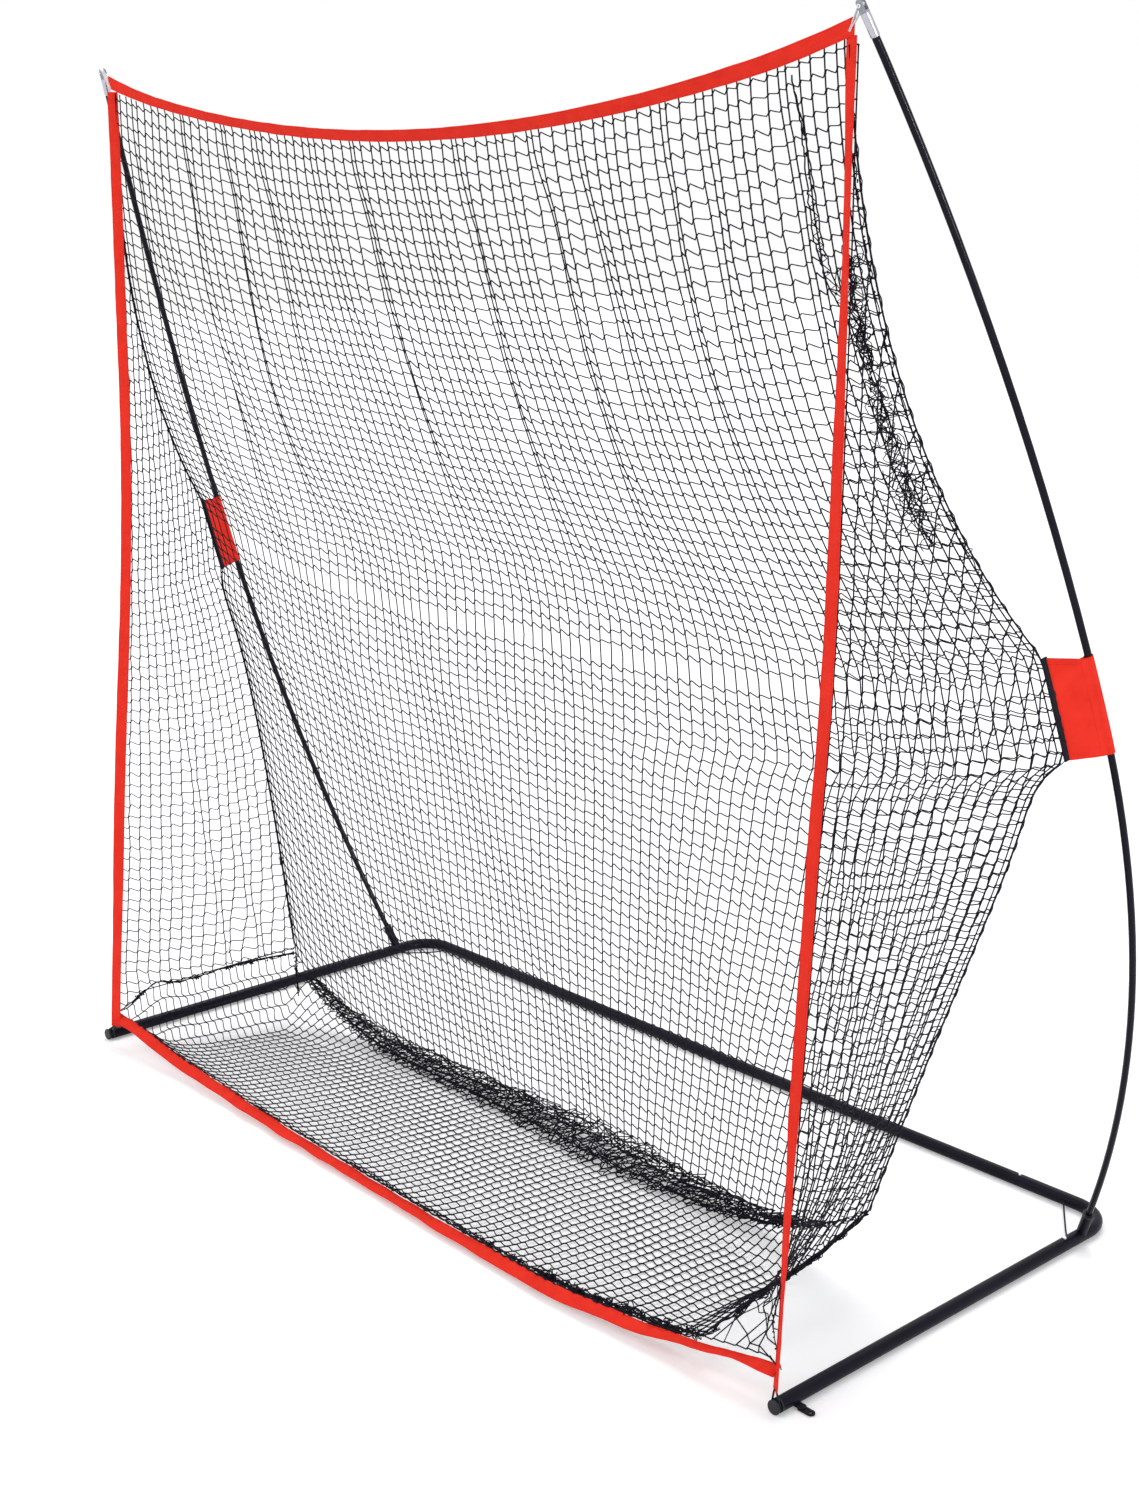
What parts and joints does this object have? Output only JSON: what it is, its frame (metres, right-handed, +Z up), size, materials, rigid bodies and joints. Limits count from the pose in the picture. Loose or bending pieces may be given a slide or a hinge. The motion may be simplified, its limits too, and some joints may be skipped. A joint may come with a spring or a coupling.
{
  "type": "pitching target net",
  "caption": "Free-standing net on a tubular base with two bow-bent poles, red-bordered front opening, pocket of black netting and sprung push-button joints.",
  "frame": {"origin": "on the ground, at the middle of the object's outer box", "axes": "+X to the right as seen from the pitcher, +Y away from the pitcher, +Z up"},
  "size_m": [2.4766, 0.9716, 2.1425],
  "materials": {
    "tube_paint": "satin powder coat",
    "bracket_paint": "satin powder coat",
    "black_plastic": "matte",
    "button_steel": "bright zinc",
    "spring_steel": "spring steel",
    "black_cord": "woven sheath",
    "pin_steel": "plain",
    "pole_paint": "satin",
    "tip_aluminium": "satin",
    "tip_plastic": "pale grey",
    "white_webbing": "woven",
    "red_fabric": "plain weave",
    "black_binding": "ribbed tape",
    "net_twine": "knotted twine"
  },
  "bodies": {
    "frame": {"leg_left": "tube_paint", "leg_right": "tube_paint", "corner_left": "tube_paint", "corner_right": "tube_paint", "socket_bush_left": "black_plastic", "socket_bush_right": "black_plastic", "rear_bar_left": "tube_paint", "rear_bar_right": "tube_paint", "rear_bar_joiner": "tube_paint", "end_plug_left": "black_plastic", "end_plug_right": "black_plastic", "stake_bracket_left": "bracket_paint", "stake_bracket_right": "bracket_paint", "leaf_spring_leg_left": "spring_steel", "leaf_spring_leg_right": "spring_steel", "leaf_spring_bar_left": "spring_steel", "leaf_spring_bar_right": "spring_steel", "leaf_spring_joiner": "spring_steel", "retaining_cord_left": "black_cord", "retaining_cord_right": "black_cord", "pole_lower_left": "pole_paint", "pole_lower_right": "pole_paint", "pole_upper_left": "pole_paint", "pole_upper_right": "pole_paint", "pole_pin_left": "pin_steel", "pole_pin_right": "pin_steel", "tip_sleeve_left": "tip_aluminium", "tip_sleeve_right": "tip_aluminium", "tip_cap_left": "tip_plastic", "tip_cap_right": "tip_plastic", "tip_pin_left": "pin_steel", "tip_pin_right": "pin_steel", "tip_loop_left": "white_webbing", "tip_loop_right": "white_webbing", "border_top": "red_fabric", "border_left": "red_fabric", "border_right": "red_fabric", "border_bottom": "red_fabric", "net_back_upper": "net_twine", "net_back_lower": "net_twine", "net_side_left": "net_twine", "net_side_right": "net_twine", "net_floor": "net_twine", "net_roll": "net_twine", "seam_cord_left": "black_cord", "seam_cord_right": "black_cord", "sleeve_tab_left": "red_fabric", "sleeve_tab_right": "red_fabric", "tab_edging_left": "black_binding", "tab_edging_right": "black_binding", "foot_loop_left": "black_cord", "foot_loop_right": "black_cord"},
    "stake_tab_left": {"stake_tab_left": "bracket_paint"},
    "stake_tab_right": {"stake_tab_right": "bracket_paint"},
    "leg_button_left": {"button_leg_left": "button_steel"},
    "leg_button_right": {"button_leg_right": "button_steel"},
    "bar_button_left": {"button_bar_left": "button_steel"},
    "bar_button_right": {"button_bar_right": "button_steel"},
    "joiner_button": {"button_joiner": "button_steel"}
  },
  "joints": [
    {"name": "leg_button_left_press", "type": "slide", "parent": "frame", "child": "leg_button_left", "axis": [0, 0, -1], "range_m": [0, 0.0052], "stiffness_N_per_m": 700, "springref_m": -0.003, "deforming": ["leaf_spring_leg_left"]},
    {"name": "leg_button_right_press", "type": "slide", "parent": "frame", "child": "leg_button_right", "axis": [0, 0, -1], "range_m": [0, 0.0052], "stiffness_N_per_m": 700, "springref_m": -0.003, "deforming": ["leaf_spring_leg_right"]},
    {"name": "bar_button_left_press", "type": "slide", "parent": "frame", "child": "bar_button_left", "axis": [0, 0, -1], "range_m": [0, 0.0052], "stiffness_N_per_m": 700, "springref_m": -0.003, "deforming": ["leaf_spring_bar_left"]},
    {"name": "bar_button_right_press", "type": "slide", "parent": "frame", "child": "bar_button_right", "axis": [0, 0, -1], "range_m": [0, 0.0052], "stiffness_N_per_m": 700, "springref_m": -0.003, "deforming": ["leaf_spring_bar_right"]},
    {"name": "joiner_button_press", "type": "slide", "parent": "frame", "child": "joiner_button", "axis": [0, 0, -1], "range_m": [0, 0.0052], "stiffness_N_per_m": 700, "springref_m": -0.003, "deforming": ["leaf_spring_joiner"]},
    {"name": "stake_tab_left_swing", "type": "hinge", "parent": "frame", "child": "stake_tab_left", "pos_m": [-1.0562, -0.43118, 0.0028], "axis": [0, 0, 1], "range_deg": [-90, 90]},
    {"name": "stake_tab_right_swing", "type": "hinge", "parent": "frame", "child": "stake_tab_right", "pos_m": [1.0562, -0.43118, 0.0028], "axis": [0, 0, 1], "range_deg": [-90, 90]}
  ]
}
